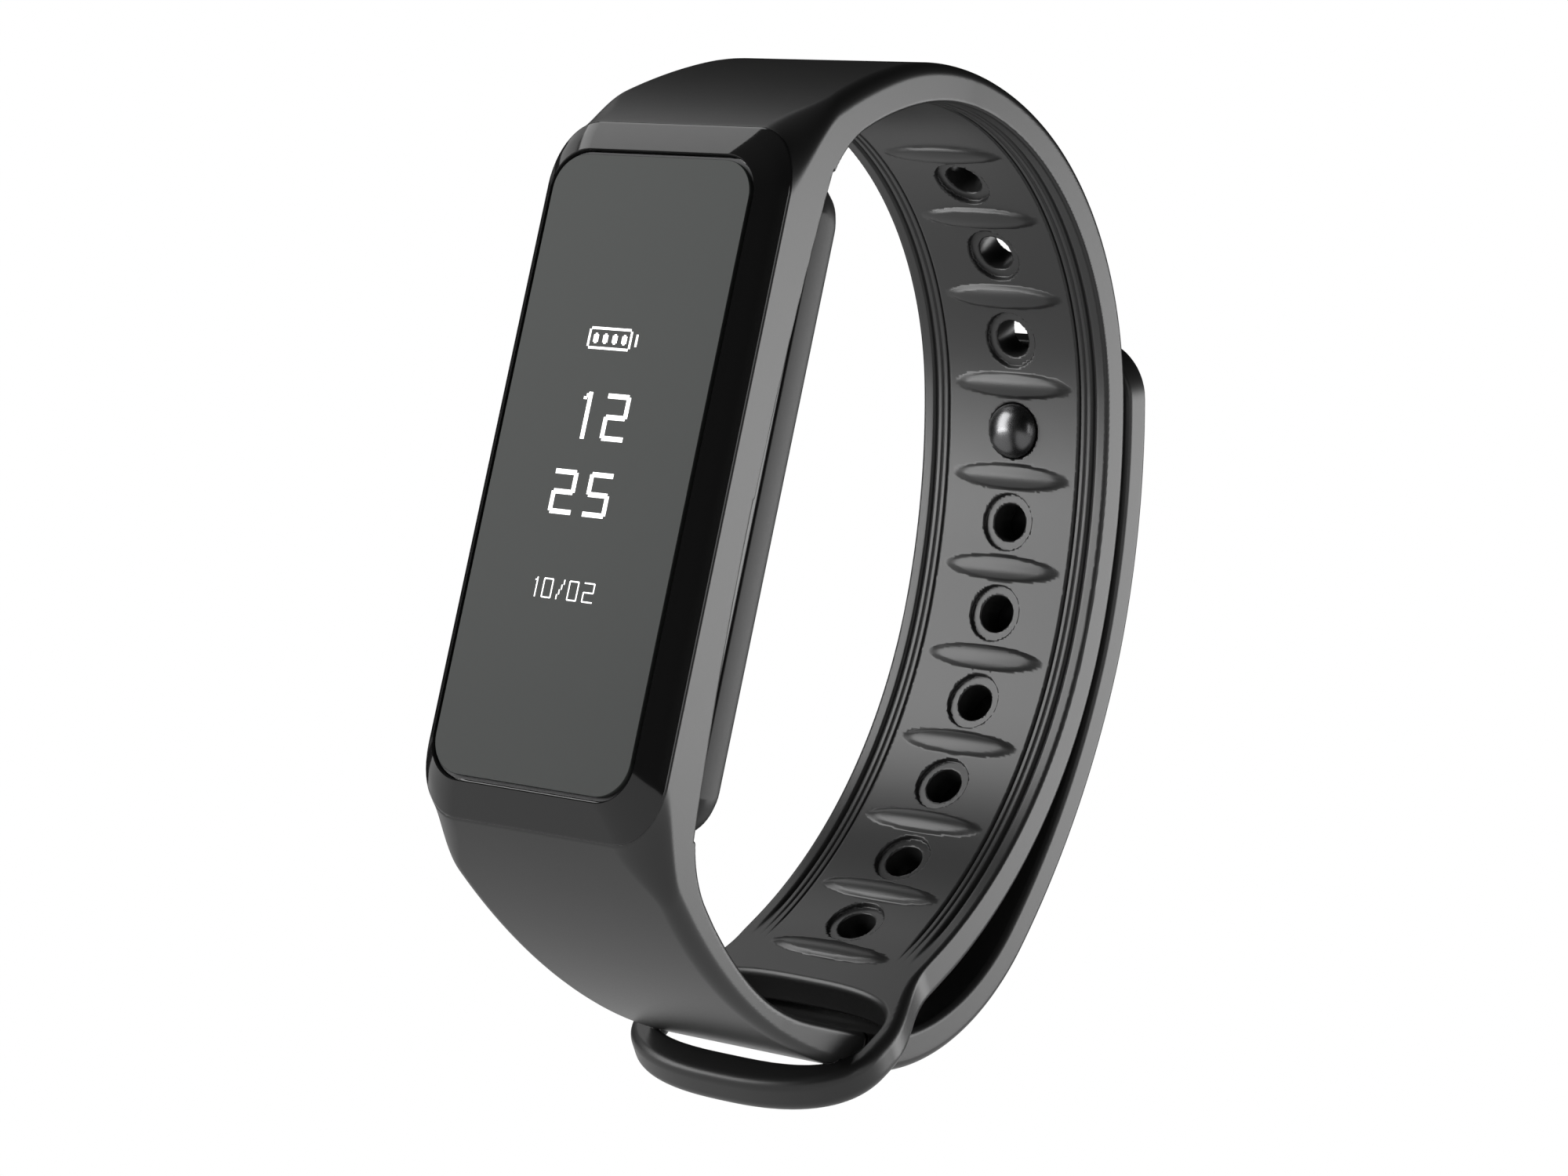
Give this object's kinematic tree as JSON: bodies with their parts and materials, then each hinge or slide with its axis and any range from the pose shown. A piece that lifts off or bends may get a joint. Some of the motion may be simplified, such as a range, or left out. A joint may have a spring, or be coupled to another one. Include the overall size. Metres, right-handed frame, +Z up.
{
  "type": "fitness tracker band",
  "caption": "Wrist-worn activity tracker in a one-piece silicone band with a holed strap, a stud clasp and a keeper loop, closed as worn; the tracker pushes out and the tail peels open.",
  "frame": {"origin": "centre of the wrist opening, on the band's middle plane", "axes": "+Z up along the display, the display faces -Y, +X across the strap to the wearer's side; the band closes round the X axis"},
  "size_m": [0.0218, 0.0574, 0.0764],
  "materials": {
    "silicone": "matte moulded silicone, near black",
    "stud_metal": "dark polished steel",
    "housing_gloss": "piano black gloss",
    "lens_glass": "smoked clear cover lens",
    "display_oled": "monochrome display panel",
    "dark_plastic": "moulded dark plastic",
    "board_green": "solder-masked circuit board",
    "chip_black": "moulded chip packages",
    "flex_amber": "polyimide flexible circuit",
    "ceramic": "ceramic",
    "foil": "laminated foil pouch",
    "foam": "thin adhesive foam",
    "steel": "drawn steel",
    "tungsten": "sintered heavy alloy",
    "copper": "enamelled copper winding",
    "gold": "gold-plated contact metal",
    "back_plastic": "fine-textured black plastic",
    "window": "smoked optical window",
    "led_resin": "moulded lamp resin"
  },
  "bodies": {
    "root": {"band_pocket": "silicone", "strap_upper": "silicone", "strap_holed": "silicone", "stud_hole_lip": "silicone", "strap_loop": "silicone", "strap_lower": "silicone"},
    "module": {"front_housing": "housing_gloss", "display_lens": "lens_glass", "lens_adhesive": "dark_plastic", "touch_electrode": "gold", "oled_panel": "display_oled", "oled_flex": "flex_amber", "display_bracket": "dark_plastic", "main_board": "board_green", "board_chips": "chip_black", "radio_antenna": "ceramic", "board_screws": "steel", "battery_cell": "foil", "battery_board": "board_green", "battery_pad": "foam", "motor_can": "steel", "motor_cap": "ceramic", "motor_magnet": "tungsten", "back_cover": "back_plastic", "seal_ring": "silicone", "sensor_window": "window", "sensor_board": "board_green", "sensor_leds": "led_resin", "photodiode": "chip_black", "light_barrier": "dark_plastic", "charge_contacts": "gold", "contact_springs": "gold"},
    "rotor": {"motor_coil": "copper", "motor_shaft": "steel", "motor_weight": "tungsten"},
    "tail_a": {"tail_lower": "silicone"},
    "tail_b": {"tail_middle": "silicone"},
    "tail_c": {"tail_tip": "silicone", "stud_pin": "stud_metal", "stud_cap": "stud_metal"}
  },
  "joints": [
    {"name": "module_eject", "type": "slide", "parent": "root", "child": "module", "axis": [0, -1, 0], "range_m": [0, 0.015]},
    {"name": "rotor_spin", "type": "hinge", "parent": "module", "child": "rotor", "pos_m": [0, -0.02445, -0.0184], "axis": [1, 0, 0], "continuous": true},
    {"name": "tail_bend_1", "type": "hinge", "parent": "root", "child": "tail_a", "pos_m": [0, 0.02233, -0.02071], "axis": [-1, 0, 0], "range_deg": [0, 28], "stiffness_Nm_per_rad": 0.007, "deforming": ["stud_hole_lip"]},
    {"name": "tail_bend_2", "type": "hinge", "parent": "tail_a", "child": "tail_b", "pos_m": [0, 0.02568, -0.00857], "axis": [-1, 0, 0], "range_deg": [0, 28], "stiffness_Nm_per_rad": 0.007, "deforming": ["stud_hole_lip"]},
    {"name": "tail_bend_3", "type": "hinge", "parent": "tail_b", "child": "tail_c", "pos_m": [0, 0.02621, 0.00407], "axis": [-1, 0, 0], "range_deg": [0, 28], "stiffness_Nm_per_rad": 0.007, "deforming": ["stud_hole_lip"]}
  ],
  "couplings": [
    {"joint": "tail_bend_2", "follows": "tail_bend_1", "ratio": 1},
    {"joint": "tail_bend_3", "follows": "tail_bend_1", "ratio": 1}
  ]
}
